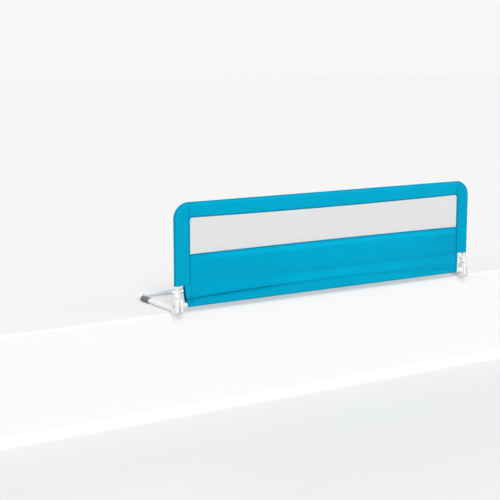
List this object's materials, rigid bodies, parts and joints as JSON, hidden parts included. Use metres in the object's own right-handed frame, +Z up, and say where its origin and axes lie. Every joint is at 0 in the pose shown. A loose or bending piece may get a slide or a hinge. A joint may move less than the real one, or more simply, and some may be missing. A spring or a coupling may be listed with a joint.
{
  "type": "folding bed guard rail",
  "caption": "Fabric-covered tubular bed guard rail with a net window, folding down on two hinge brackets fixed to a base frame that lies under the mattress.",
  "frame": {"origin": "middle of the footprint (brackets and base frame) at floor level", "axes": "+X along the rail, +Y from the rail towards the rear tube under the mattress, +Z up"},
  "size_m": [1.5386, 0.3836, 0.436],
  "materials": {
    "white_plastic": "moulded, fine texture",
    "white_tube": "white powder coat",
    "steel": "zinc plated",
    "grip_rubber": "matte",
    "blue_fabric": "plain woven polyester",
    "net": "fine knitted mesh"
  },
  "bodies": {
    "base": {"left_bracket": "white_plastic", "right_bracket": "white_plastic", "left_pivot_bolt": "steel", "right_pivot_bolt": "steel", "left_pivot_nut": "steel", "right_pivot_nut": "steel", "left_base_arm": "white_tube", "right_base_arm": "white_tube", "left_arm_screw": "steel", "right_arm_screw": "steel", "left_grip_sleeve": "grip_rubber", "right_grip_sleeve": "grip_rubber", "left_base_clip": "steel", "right_base_clip": "steel", "rear_tube": "white_tube", "cross_tube_left": "white_tube", "cross_tube_right": "white_tube"},
    "rail": {"left_knuckle": "white_plastic", "right_knuckle": "white_plastic", "left_corner_tube": "white_tube", "right_corner_tube": "white_tube", "left_knuckle_screw": "steel", "right_knuckle_screw": "steel", "left_release_spring": "steel", "right_release_spring": "steel", "left_spring_seat": "white_plastic", "right_spring_seat": "white_plastic", "left_top_clip": "steel", "right_top_clip": "steel", "left_side_sleeve": "blue_fabric", "right_side_sleeve": "blue_fabric", "top_tube": "white_tube", "top_sleeve": "blue_fabric", "lower_panel": "blue_fabric", "hem_pocket": "blue_fabric", "window_net": "net"},
    "left_release": {"left_release_collar": "white_plastic", "left_release_pin": "steel", "left_release_plunger": "white_plastic"},
    "right_release": {"right_release_collar": "white_plastic", "right_release_pin": "steel", "right_release_plunger": "white_plastic"},
    "left_top_snap": {"left_top_button": "steel"},
    "right_top_snap": {"right_top_button": "steel"},
    "left_base_snap": {"left_base_button": "steel"},
    "right_base_snap": {"right_base_button": "steel"}
  },
  "joints": [
    {"name": "rail_fold", "type": "hinge", "parent": "base", "child": "rail", "pos_m": [0, -0.16734, 0.0315], "axis": [1, 0, 0], "range_deg": [0, 180]},
    {"name": "left_release", "type": "slide", "parent": "rail", "child": "left_release", "axis": [0, 0, 1], "range_m": [0, 0.007], "stiffness_N_per_m": 700, "springref_m": -0.006, "deforming": ["left_release_spring"]},
    {"name": "right_release", "type": "slide", "parent": "rail", "child": "right_release", "axis": [0, 0, 1], "range_m": [0, 0.007], "stiffness_N_per_m": 700, "springref_m": -0.006, "deforming": ["right_release_spring"]},
    {"name": "left_top_button_press", "type": "slide", "parent": "rail", "child": "left_top_snap", "axis": [0, 0, 1], "range_m": [0, 0.0035], "stiffness_N_per_m": 1500, "springref_m": -0.002, "deforming": ["left_top_clip"]},
    {"name": "right_top_button_press", "type": "slide", "parent": "rail", "child": "right_top_snap", "axis": [0, 0, 1], "range_m": [0, 0.0035], "stiffness_N_per_m": 1500, "springref_m": -0.002, "deforming": ["right_top_clip"]},
    {"name": "left_base_button_press", "type": "slide", "parent": "base", "child": "left_base_snap", "axis": [0, 0, -1], "range_m": [0, 0.0035], "stiffness_N_per_m": 1500, "springref_m": -0.002, "deforming": ["left_base_clip"]},
    {"name": "right_base_button_press", "type": "slide", "parent": "base", "child": "right_base_snap", "axis": [0, 0, -1], "range_m": [0, 0.0035], "stiffness_N_per_m": 1500, "springref_m": -0.002, "deforming": ["right_base_clip"]}
  ]
}
